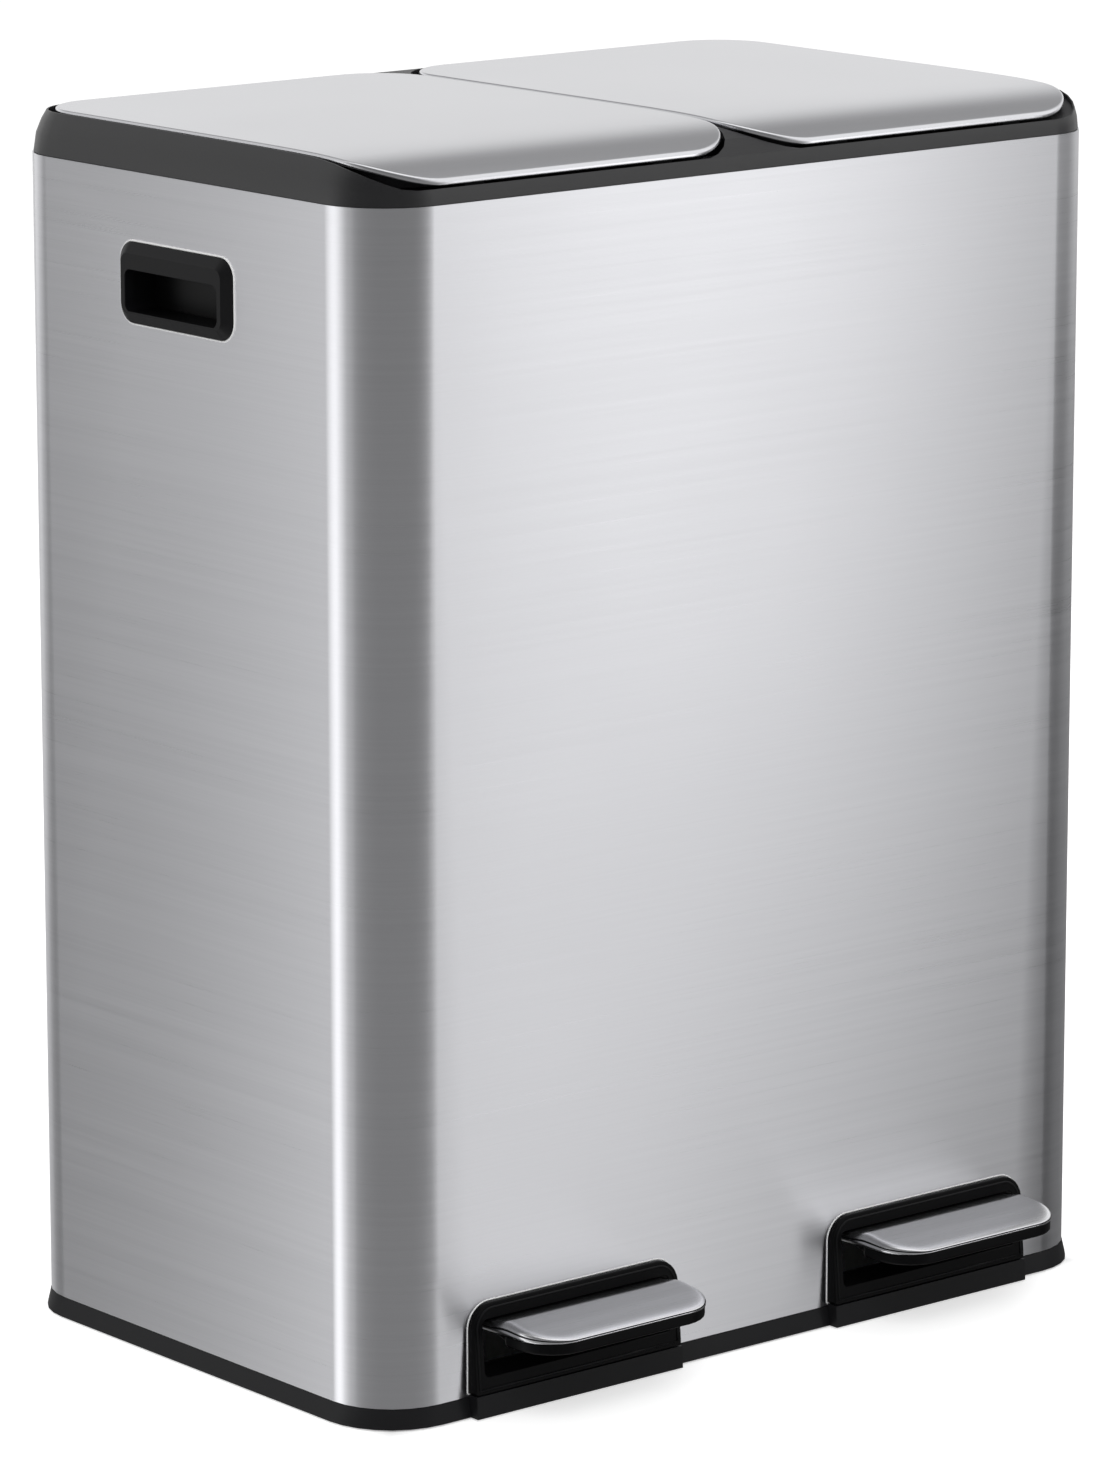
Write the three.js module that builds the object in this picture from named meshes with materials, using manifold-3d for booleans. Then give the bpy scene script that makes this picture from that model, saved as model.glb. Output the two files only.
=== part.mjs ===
// Double recycling bin: two compartments, two steel lids and two pedals.
//
// Frame: millimetres, x to the right along the front, y to the back, z up, origin on the floor under the
// middle of the whole footprint, pedals included. The pieces are worked out about the middle of the casing,
// and the finished group is set forward to that origin at the end. Each compartment is built once about
// x = 0 and placed in its lane, left and right.
// A pedal lever turns on a pin under the floor of the base and lifts a rod behind the bucket; the rod pushes
// a crank pin on the lid, and the lid turns on two short pins at the back of the rim.
import * as THREE from 'three';
import { mergeVertices } from 'three/addons/utils/BufferGeometryUtils.js';
import Module from 'manifold-3d';

const wasm = await Module();
wasm.setup();

// ---------------------------------------------------------------- driving dimensions

const gap = 0.3;                 // between pieces that touch
const running = 0.4;             // beside a moving piece
const arcSteps = 7;              // facets in a quarter turn of a lofted corner
const bendSteps = 6;             // facets in each bend of an extruded outline
const fallSteps = 16;            // facets along a curve of the lids' fall
const webSteps = 6;              // and along the webs between the lids
const bucketSteps = 4;           // facets in a quarter turn of a bucket's corner
const padSides = 12;             // facets round a foot

const weld = 1;                  // how far one feature of a moulding runs into the next
const past = 5;                  // how far a cut runs on past what it cuts

const casing = { width: 490, depth: 306, corner: 38, wall: 0.8, bottom: 11.1, top: 614.8 };

const lid = {
  rise: 22.9,                    // flat of the lids, above the top edge of the casing
  seam: 1.7, side: 9.3, front: 2.4, back: 10.5,      // edges, in from the middle and from the casing
  frontCorner: 38, backCorner: 34,
  sheet: 0.8, hem: 2.7, roll: 1.2,
  bow: 1.8, bowPower: 3, frontDrop: 9.2, frontPower: 9, // fall of the front: a slow bow and a late nose
};
const liner = {
  inset: 1.5, plate: 2.1, skirt: 2, skirtInset: 6, skirtFront: 13, skirtBack: 39.5, skirtDepth: 15.7,
  rib: 2, ribSpread: 40, ribDepth: 9.7,
};

const rim = {
  flush: 0.6, tuck: 7, lipWidth: 0.8, lip: 1.5, lipFall: 2.5, lipFallRun: 55.6,
  seat: 5, trough: 13.7, troughRun: 12, inner: 14, skirt: 10.8, wall: 2.2, plug: 22.8, bridge: 4.6,
  swingRoom: 4.6,                // round the back corners of the lids, which dip as they open
};
const deck = { reach: 49.8, drop: 4.8, thick: 2.5, lip: 7 };

const hinge = { inset: 18, drop: 4.5, pin: 1.5, barrel: 3.2, fromSide: 45, knuckle: 11.8, ear: 4, post: 5.2 };
const crank = { radius: 22, swing: 75, pin: 2, plate: 3, boss: 5 };
const rod = { radius: 3, plate: 6, wall: 2.2, play: 0.8 };

const base = {
  bottom: 0.8, flare: 2.2, band: 2.5, wall: 2.4, floor: 61, floorThick: 2.5,
  rib: 2, ribDepth: 14, ribInner: 32, ribOuter: 42, crossRibs: [63, 123],
};
const foot = { radius: 11, taper: 1, height: 4.7, seat: 3, insetX: 32, insetY: 28 };
const pocket = {
  out: 2.3,                      // the pedals stand a little further out than the middle of their lids
  half: 67.8, top: 59, sill: 1.5, corner: 13, proudTop: 3, proudBottom: 7,
  side: 6.6, head: 8.4, foot: 8.9, mouthCorner: 2.5, wall: 3, depth: 15,
};
const tread = {
  half: 58.6, reach: 50, height: 50, corner: 22, backCorner: 1.2, tuck: 11, sheet: 0.9, edge: 2,
  hemBack: 5, hemFront: 4,
};
// Black band that shows under the tread, from a share of its reach to the front
const band = { from: 0.3, inset: 0.4, drop: 10.3, edge: 1, corner: 4 };
const lever = {
  behind: 113, z: 30, pin: 3, link: 2, half: 22, deep: 8, neck: 4, fork: 6.4, forkBoss: 5.5, skin: 3,
  taper: 34, forkTaper: 40, bracket: 4, bracketBoss: 8,
};

const handle = {
  middle: 4.5, drop: 55.8, width: 93, height: 41, corner: 10, proud: 4.3, rimEdge: 0.7, rimSlope: 5.2,
  depth: 17.5, wall: 2, band: 8, brow: 13, sill: 6, cupSide: 3.5, cupEnd: 4,
};
const bucket = {
  side: 11, front: 20.5, back: 56.5, drop: 12.8, flange: 5.5, draft: 5, heel: 3,
  corner: 30, wall: 2.2, lip: 8,
  grip: 100, gripTall: 20, gripDrop: 18, gripCorner: 9,
};
const bumper = { fromSide: 57, inset: 4, length: 12, depth: 4, height: 1.7 };

// Line of the tread from its back edge to its front, as a share of the reach and a rise over its height
const treadLine = [[0.06, 0], [0.2, 1.2], [0.34, 2.9], [0.38, 3], [0.64, 1.3], [0.92, -1.1], [1, -2]];
// Underside of the lever's body behind the band, in the same terms
const neckLine = [[0.16, -6], [0.3, -8]];

// ---------------------------------------------------------------- values worked out from them

const frontY = -casing.depth / 2;
const backY = casing.depth / 2;
const sideX = casing.width / 2;

const lidTop = casing.top + lid.rise;
const lidHalf = (sideX - lid.side - lid.seam) / 2;
const lane = lid.seam + lidHalf;           // middle of a compartment, from the middle of the bin
const lidFront = frontY + lid.front;
const lidBack = backY - lid.back;
const lidUnder = lid.sheet + gap;

const deckTop = casing.top - deck.drop;
const deckFront = backY - deck.reach;

const hingeX = lidHalf - hinge.fromSide;
const hingeY = backY - hinge.inset;
const hingeZ = lidTop - hinge.drop;
const crankHalf = THREE.MathUtils.degToRad(crank.swing / 2);
const crankY = hingeY - crank.radius * Math.cos(crankHalf);
const crankZ = hingeZ - crank.radius * Math.sin(crankHalf);
const crankForeY = hingeY - crank.radius;
const lift = 2 * crank.radius * Math.sin(crankHalf);

const leverY = frontY + lever.behind;
const rodY = (crankY + crankForeY) / 2;
const leverReach = rodY - leverY;
const leverHalf = Math.asin(lift / 2 / leverReach);
const linkY = leverY + leverReach * Math.cos(leverHalf);
const linkZ = lever.z - leverReach * Math.sin(leverHalf);

const pocketBottom = casing.bottom + pocket.sill;
const mouth = {
  half: pocket.half - pocket.side, top: pocket.top - pocket.head, bottom: pocketBottom + pocket.foot,
};
const pedalX = lane + pocket.out;
const handleZ = casing.top - handle.drop;
const cupHalf = handle.width / 2 - handle.cupSide;
const cupTall = handle.height / 2 - handle.cupEnd;
const cupCorner = handle.corner - 2;
const tunnelCorner = pocket.mouthCorner + pocket.wall / 2;

// Fall of the lid's surface towards the front edge, by distance from the middle of the depth
const lidSurface = y => {
  const t = THREE.MathUtils.clamp(y / lidFront, 0, 1);
  return lidTop - lid.bow * t ** lid.bowPower - lid.frontDrop * t ** lid.frontPower;
};
// Height of the rim's lip, which follows the lid and drops away from it at the front
const lipSurface = y => {
  const t = THREE.MathUtils.clamp((lidFront + rim.lipFallRun - y) / rim.lipFallRun, 0, 1);
  return lidSurface(y) - rim.lip - rim.lipFall * t ** 1.5;
};

// ---------------------------------------------------------------- materials

const finish = (color, roughness, metalness) => () =>
  new THREE.MeshStandardMaterial({ color, roughness, metalness });
const brushedSteel = finish(0xc9cbcd, 0.35, 1);
const plainSteel = finish(0x9a9c9f, 0.4, 1);
const blackPlastic = finish(0x1b1c1e, 0.5, 0);
const greyPlastic = finish(0x34363a, 0.6, 0);
const rubber = finish(0x111111, 0.9, 0);

// ---------------------------------------------------------------- solids

const solidOf = geometry => {
  geometry.deleteAttribute('normal');
  geometry.deleteAttribute('uv');
  const merged = mergeVertices(geometry, 1e-4);
  const vertProperties = new Float32Array(merged.attributes.position.array);
  const triVerts = new Uint32Array(merged.index.array);
  return new wasm.Manifold(new wasm.Mesh({ numProp: 3, vertProperties, triVerts }));
};

const geometryOf = solid => {
  const { vertProperties, triVerts } = solid.getMesh();
  const geometry = new THREE.BufferGeometry();
  geometry.setAttribute('position', new THREE.BufferAttribute(new Float32Array(vertProperties), 3));
  geometry.setIndex(new THREE.BufferAttribute(new Uint32Array(triVerts), 1));
  geometry.computeVertexNormals();
  return geometry;
};

const join = parts => parts.reduce((sum, part) => sum.add(part));
const cut = (body, parts) => parts.reduce((rest, part) => rest.subtract(part), body);

// Extrusions of an outline along each axis: (x, y) up z, (y, z) along x, (x, z) along y
const extruded = (shape, length) => new THREE.ExtrudeGeometry(shape, {
  depth: length, bevelEnabled: false, curveSegments: bendSteps / 2,
});
const alongZ = (shape, z0, z1) => solidOf(extruded(shape, z1 - z0).translate(0, 0, z0));
const alongX = (shape, x0, x1) => {
  const turn = new THREE.Matrix4().makeBasis(
    new THREE.Vector3(0, 1, 0), new THREE.Vector3(0, 0, 1), new THREE.Vector3(1, 0, 0));
  return solidOf(extruded(shape, x1 - x0).applyMatrix4(turn).translate(x0, 0, 0));
};
const alongY = (shape, y0, y1) => {
  const turn = new THREE.Matrix4().makeBasis(
    new THREE.Vector3(1, 0, 0), new THREE.Vector3(0, 0, 1), new THREE.Vector3(0, -1, 0));
  return solidOf(extruded(shape, y1 - y0).applyMatrix4(turn).translate(0, y1, 0));
};

const polygon = points => new THREE.Shape(points.map(([a, b]) => new THREE.Vector2(a, b)));

// Rectangle with corner radii given as one number or as [low left, low right, high right, high left]
const roundedRect = (a0, a1, b0, b1, radius = 0) => {
  const [r0, r1, r2, r3] = Array.isArray(radius) ? radius : Array(4).fill(radius);
  const quarter = Math.PI / 2;
  const shape = new THREE.Shape();
  shape.moveTo(a0 + r0, b0);
  shape.lineTo(a1 - r1, b0);
  if (r1) shape.absarc(a1 - r1, b0 + r1, r1, -quarter, 0, false);
  shape.lineTo(a1, b1 - r2);
  if (r2) shape.absarc(a1 - r2, b1 - r2, r2, 0, quarter, false);
  shape.lineTo(a0 + r3, b1);
  if (r3) shape.absarc(a0 + r3, b1 - r3, r3, quarter, 2 * quarter, false);
  shape.lineTo(a0, b0 + r0);
  if (r0) shape.absarc(a0 + r0, b0 + r0, r0, 2 * quarter, 3 * quarter, false);
  return shape;
};

const block = (x0, x1, y0, y1, z0, z1) => alongZ(roundedRect(x0, x1, y0, y1), z0, z1);

const pinGeometry = (radius, length, sides = 12) =>
  new THREE.CylinderGeometry(radius, radius, length, sides).rotateZ(Math.PI / 2);
const crossHole = (radius, y, z, half) => solidOf(pinGeometry(radius, 2 * half).translate(0, y, z));
const uprightRod = (radius, x, y, z0, z1, sides = 14) =>
  solidOf(new THREE.CylinderGeometry(radius, radius, z1 - z0, sides).rotateX(Math.PI / 2)
    .translate(x, y, (z0 + z1) / 2));

// Everything between two curves of y, from y0 to y1, across x0 to x1
const between = (low, high, x0, x1, y0, y1, steps = fallSteps) => {
  const ys = Array.from({ length: steps + 1 }, (_, i) => y0 + (y1 - y0) * i / steps);
  const points = [...ys.map(y => [y, low(y)]), ...ys.reverse().map(y => [y, high(y)])];
  return alongX(polygon(points), x0, x1);
};

// Ring of points round a rounded rectangle, from the back left corner round the front to the back right,
// so that points i and n - 1 - i lie side by side at one y. Cuts add points along the sides.
const ring = (plan, inset, height) => {
  const { half, x = 0, front, back, frontCorner, backCorner, cuts = [], steps = arcSteps } = plan;
  const { backSteps = steps } = plan;
  const rf = Math.max(frontCorner - inset, 0.2);
  const rb = Math.max(backCorner - inset, 0.2);
  const side = half - inset;
  const y0 = front + inset;
  const y1 = back - inset;
  const left = [];
  for (let i = 0; i <= backSteps; i += 1) {
    const a = Math.PI / 2 * (1 + i / backSteps);
    left.push([-side + rb + rb * Math.cos(a), y1 - rb + rb * Math.sin(a)]);
  }
  for (const y of cuts) left.push([-side, y]);
  for (let i = 0; i <= steps; i += 1) {
    const a = Math.PI / 2 * (2 + i / steps);
    left.push([-side + rf + rf * Math.cos(a), y0 + rf + rf * Math.sin(a)]);
  }
  const right = left.map(([px, py]) => [-px, py]).reverse();
  return [...left, ...right].map(([px, py], i) => {
    const z = typeof height === 'function' ? height(py, i) : height;
    return new THREE.Vector3(x + px, py, z);
  });
};

// Solid through a stack of rings: capped at both ends, or closed on itself like a collar
const loft = (rings, closed = false) => {
  const n = rings[0].length;
  const positions = rings.flat().flatMap(p => [p.x, p.y, p.z]);
  const index = [];
  const quad = (a, b, c, d) => index.push(a, b, c, a, c, d);
  const spans = closed ? rings.length : rings.length - 1;
  for (let k = 0; k < spans; k += 1) {
    const low = k * n;
    const high = ((k + 1) % rings.length) * n;
    for (let i = 0; i < n; i += 1) {
      const j = (i + 1) % n;
      quad(low + i, low + j, high + j, high + i);
    }
  }
  if (!closed) {
    const top = (rings.length - 1) * n;
    for (let i = 0; i < n / 2 - 1; i += 1) {
      quad(n - 1 - i, n - 2 - i, i + 1, i);
      quad(top + i, top + i + 1, top + n - 2 - i, top + n - 1 - i);
    }
  }
  const geometry = new THREE.BufferGeometry();
  geometry.setAttribute('position', new THREE.Float32BufferAttribute(positions, 3));
  geometry.setIndex(index);
  return solidOf(geometry);
};

// ---------------------------------------------------------------- casing and rim

const shellPlan = {
  half: sideX, front: frontY, back: backY, frontCorner: casing.corner, backCorner: casing.corner,
};
const notchCorner = 5;

function steelCasing() {
  const shell = loft([
    ring(shellPlan, 0, casing.bottom),
    ring(shellPlan, 0, casing.top),
    ring(shellPlan, casing.wall, casing.top),
    ring(shellPlan, casing.wall, casing.bottom),
  ], true);
  const gripHole = alongX(roundedRect(handle.middle - cupHalf - gap, handle.middle + cupHalf + gap,
    handleZ - cupTall - gap, handleZ + cupTall + gap, cupCorner), -sideX - past, sideX + past);
  const notch = side => {
    const half = mouth.half + pocket.wall + running;
    const top = mouth.top + pocket.wall + running;
    return alongY(roundedRect(side * pedalX - half, side * pedalX + half, 0, top,
      [0, 0, notchCorner, notchCorner]), frontY - past, frontY + past);
  };
  return cut(shell, [gripHole, notch(-1), notch(1)]);
}

// Extra points along the sides, where the lids begin to fall towards their front corners
const lidPlan = {
  half: lidHalf, front: lidFront, back: lidBack, frontCorner: lid.frontCorner, backCorner: lid.backCorner,
  cuts: [0.45, 0.67, 0.85, 0.94].map(share => share * (lidFront + lid.frontCorner)),
};

function topRim() {
  const plan = { ...shellPlan, cuts: [deckFront, ...lidPlan.cuts] };
  const outer = ring(plan, 0, 0);
  const collarFoot = casing.top + gap;
  const plugFoot = casing.top - rim.plug;
  const innerFoot = casing.top - rim.skirt;
  const tuckAt = z => rim.flush + rim.tuck * ((z - collarFoot) / (lid.rise - rim.lip - gap)) ** 2;
  const seatAt = y => {
    const back = THREE.MathUtils.smoothstep(y, deckFront, deckFront + rim.troughRun);
    return lidSurface(y) - THREE.MathUtils.lerp(rim.seat, rim.trough, back);
  };
  // One section of the collar: inset and height, worked out at each point of the outline
  const section = ({ y }) => {
    const lip = lipSurface(y);
    const seat = seatAt(y);
    const rise = [0, 0.45, 0.78, 1].map(share => THREE.MathUtils.lerp(collarFoot, lip, share));
    const lipInset = tuckAt(lip) + rim.lipWidth;
    const plugInset = casing.wall + gap;
    return [
      ...rise.map(z => [tuckAt(z), z]),
      [lipInset, lip],
      [lipInset + gap, seat],
      [rim.inner, seat],
      [rim.inner, innerFoot],
      [rim.inner - rim.wall, innerFoot],
      [rim.inner - rim.wall, seat - rim.wall],
      [plugInset + rim.wall, Math.min(seat - rim.wall, collarFoot + rim.wall)],
      [plugInset + rim.wall, plugFoot],
      [plugInset, plugFoot],
      [plugInset, collarFoot],
    ];
  };
  const sections = outer.map(section);
  const rings = sections[0].map((_, k) => outer.map((_p, i) => {
    const [inset, z] = sections[i][k];
    return ring(plan, inset, z)[i];
  }));
  const collar = loft(rings, true);

  // Bar between the lids, hollow underneath
  const barFront = frontY + rim.inner;
  const bar = cut(
    between(() => innerFoot, y => lidSurface(y) - rim.seat, -rim.bridge, rim.bridge,
      barFront - weld, deckFront + weld),
    [block(-rim.bridge + rim.wall, rim.bridge - rim.wall, barFront + 2 * rim.wall, deckFront - rim.wall, 0,
      lidSurface(barFront) - rim.seat - rim.wall)]);

  // Deck behind the buckets, with a lip that hangs from its front edge
  const deckHalf = sideX - rim.inner + weld;
  const deckBack = backY - rim.inner + weld;
  const shelf = block(-deckHalf, deckHalf, deckFront, deckBack, deckTop - deck.thick, deckTop);
  const shelfLip = block(-deckHalf, deckHalf, deckFront, deckFront + rim.wall, deckTop - deck.lip, deckTop);

  // Raised webs between the rounded corners of the two lids, front and back
  const spread = lid.frontCorner + 2 * rim.wall;
  const lidClear = (side, room) =>
    loft([0, 2 * lidTop].map(z => ring({ ...lidPlan, x: side * lane }, -room, z)));
  const frontWeb = between(y => lidSurface(y) - rim.seat - weld, lipSurface, -spread, spread,
    frontY + rim.flush + rim.lipWidth, frontY + spread, webSteps);
  const backWeb = between(() => lidTop - rim.trough - weld, () => lidTop - rim.lip, -spread, spread,
    backY - spread, backY - rim.tuck - rim.flush - rim.lipWidth, 1);
  const webs = cut(frontWeb, [lidClear(-1, rim.wall), lidClear(1, rim.wall)])
    .add(cut(backWeb, [lidClear(-1, rim.swingRoom), lidClear(1, rim.swingRoom)]));

  const ears = [];
  const holes = [];
  for (const side of [-1, 1]) {
    for (const end of [-1, 1]) {
      const x = side * lane + end * hingeX;
      const reach = hinge.knuckle / 2 + running;
      ears.push(ear(x - reach - hinge.ear, x - reach), ear(x + reach, x + reach + hinge.ear));
      holes.push(crossHole(hinge.pin + gap, hingeY, hingeZ, reach + hinge.ear + past).translate([x, 0, 0]));
    }
    holes.push(uprightRod(rod.radius + rod.play, side * lane, rodY, deckTop - past, deckTop + past));
  }
  return cut(join([collar, bar, shelf, shelfLip, webs, ...ears]), holes);
}

// One upright of a hinge: a post on the deck with a round head about the pin
function ear(x0, x1) {
  const front = hingeY - hinge.barrel;
  const shape = new THREE.Shape();
  shape.moveTo(front, deckTop - weld);
  shape.lineTo(front + hinge.post, deckTop - weld);
  shape.lineTo(front + hinge.post, hingeZ - hinge.barrel);
  shape.absarc(hingeY, hingeZ, hinge.barrel, -Math.PI / 5, Math.PI, false);
  return alongX(shape, x0, x1);
}

// ---------------------------------------------------------------- lids

function lidSkin() {
  const at = (inset, drop) => ring(lidPlan, inset, y => lidSurface(y) - drop);
  return loft([
    at(lid.roll + lid.sheet / 2, lid.sheet),
    at(lid.sheet, lid.roll + lid.sheet / 4),
    at(lid.sheet, lid.hem),
    at(0, lid.hem),
    at(0, lid.roll),
    at(lid.roll * 0.3, lid.roll * 0.3),
    at(lid.roll, 0),
  ]);
}

function lidLiner() {
  const under = lidUnder + liner.plate;
  const plate = loft([
    ring(lidPlan, liner.inset, y => lidSurface(y) - under),
    ring(lidPlan, liner.inset, y => lidSurface(y) - lidUnder),
  ]);
  const low = lidTop - liner.skirtDepth;
  const skirtOutline = inset => roundedRect(
    -lidHalf + liner.skirtInset + inset, lidHalf - liner.skirtInset - inset,
    lidFront + liner.skirtFront + inset, lidBack - liner.skirtBack - inset,
    lid.frontCorner - liner.skirtInset - inset);
  const skirt = cut(alongZ(skirtOutline(0), low, lidTop),
    [alongZ(skirtOutline(liner.skirt), low - weld, lidTop + weld)]);
  const ribs = [-1, 1].map(side => block(
    side * liner.ribSpread - liner.rib / 2, side * liner.ribSpread + liner.rib / 2,
    lidFront + liner.skirtFront + weld, lidBack - liner.skirtBack - weld, lidTop - liner.ribDepth, lidTop));
  const room = between(() => 0, y => lidSurface(y) - lidUnder - gap, -lidHalf, lidHalf, lidFront, lidBack);
  const hangs = join([skirt, ...ribs]).intersect(room);

  // The hinge ears of the rim stand in notches at the back edge
  const knuckleFront = hingeY - hinge.barrel - liner.skirt - weld;
  const notches = [];
  const knuckles = [];
  for (const side of [-1, 1]) {
    const x = side * hingeX;
    const reach = hinge.knuckle / 2 + running + hinge.ear + weld;
    const notchFront = hingeY - hinge.barrel - weld;
    notches.push(block(x - reach, x + reach, notchFront, lidBack + past, low, lidTop + past));
    const knuckle = new THREE.Shape();
    knuckle.moveTo(knuckleFront, lidTop - under);
    knuckle.lineTo(hingeY, hingeZ - hinge.barrel);
    knuckle.absarc(hingeY, hingeZ, hinge.barrel, -Math.PI / 2, Math.PI / 2, false);
    knuckle.lineTo(knuckleFront, hingeZ + hinge.barrel);
    knuckles.push(alongX(knuckle, x - hinge.knuckle / 2, x + hinge.knuckle / 2));
  }
  // The crank: two arms either side of the rod's head
  const armTop = lidTop - under + weld;
  const arm = new THREE.Shape();
  arm.moveTo(crankY + crank.boss, crankZ);
  arm.lineTo(knuckleFront - weld, armTop);
  arm.lineTo(crankY - 2 * crank.boss, armTop);
  arm.lineTo(crankY - crank.boss, crankZ);
  arm.absarc(crankY, crankZ, crank.boss, Math.PI, 2 * Math.PI, false);
  const inside = rod.plate / 2 + running;
  const arms = [
    alongX(arm, -inside - crank.plate, -inside),
    alongX(arm, inside, inside + crank.plate),
  ];
  const body = cut(plate.add(hangs), notches);
  const hingeHole = side =>
    crossHole(hinge.pin + gap, hingeY, hingeZ, hinge.knuckle).translate([side * hingeX, 0, 0]);
  return cut(join([body, ...knuckles, ...arms]), [
    crossHole(crank.pin + gap, crankY, crankZ, inside + crank.plate + past),
    hingeHole(-1),
    hingeHole(1),
  ]);
}

// ---------------------------------------------------------------- lift rod

// Steel rod with a flat eye at each end: a long slot for the crank pin, a short one for the lever's pin
function liftRod() {
  const eye = (y0, y1, z, pinRadius) => {
    const half = pinRadius + rod.play;
    const wide = half + rod.wall;
    const outline = (r, length) => alongX(
      roundedRect(y0 - r, y1 + r, z - r, z + r, r * 0.98), -length / 2, length / 2);
    return { outer: outline(wide, rod.plate), slot: outline(half, 2 * rod.plate) };
  };
  const head = eye(crankForeY, crankY, crankZ, crank.pin);
  const heel = eye(linkY - lever.link / 4, linkY + lever.link / 2, linkZ, lever.link);
  const inEye = rod.play + rod.wall / 2;
  const shaft = uprightRod(rod.radius, 0, rodY, linkZ + lever.link + inEye, crankZ - crank.pin - inEye);
  return cut(join([shaft, head.outer, heel.outer]), [head.slot, heel.slot]);
}

// ---------------------------------------------------------------- pedals

const treadFront = frontY - tread.reach;
const treadBack = frontY + tread.tuck;
const treadPlan = {
  half: tread.half, front: treadFront, back: treadBack,
  frontCorner: tread.corner, backCorner: tread.backCorner, backSteps: 2,
  cuts: treadLine.slice(0, 3).map(([share]) => frontY - share * tread.reach),
};
// Height of the tread at a distance in front of the casing
const crownAt = y => {
  const share = THREE.MathUtils.clamp((frontY - y) / tread.reach, treadLine[0][0], 1);
  const next = Math.max(1, treadLine.findIndex(([end]) => end >= share));
  const [share0, rise0] = treadLine[next - 1];
  const [share1, rise1] = treadLine[next];
  return tread.height + THREE.MathUtils.mapLinear(share, share0, share1, rise0, rise1);
};
// Lower edge of the tread's turned-down hem
const hemAt = y =>
  tread.height - THREE.MathUtils.mapLinear(y, treadBack, treadFront, tread.hemBack, tread.hemFront);

function pedalCap() {
  const { sheet, edge } = tread;
  const shell = loft([
    ring(treadPlan, edge + sheet / 3, y => crownAt(y) - sheet),
    ring(treadPlan, sheet, y => Math.max(crownAt(y) - sheet - edge * 0.65, hemAt(y) + sheet / 2)),
    ring(treadPlan, sheet, hemAt),
    ring(treadPlan, 0, hemAt),
    ring(treadPlan, 0, y => Math.max(crownAt(y) - edge, hemAt(y) + sheet / 2)),
    ring(treadPlan, edge * 0.3, y => crownAt(y) - edge * 0.35),
    ring(treadPlan, edge, crownAt),
  ]);
  // The hem stops short of the back edge, where the neck of the lever comes in
  const side = tread.half - sheet - gap;
  const underside = crownAt(treadBack) - sheet;
  return shell.subtract(block(-side, side, treadBack - 2 * edge, treadBack + weld, 0, underside));
}

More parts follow.
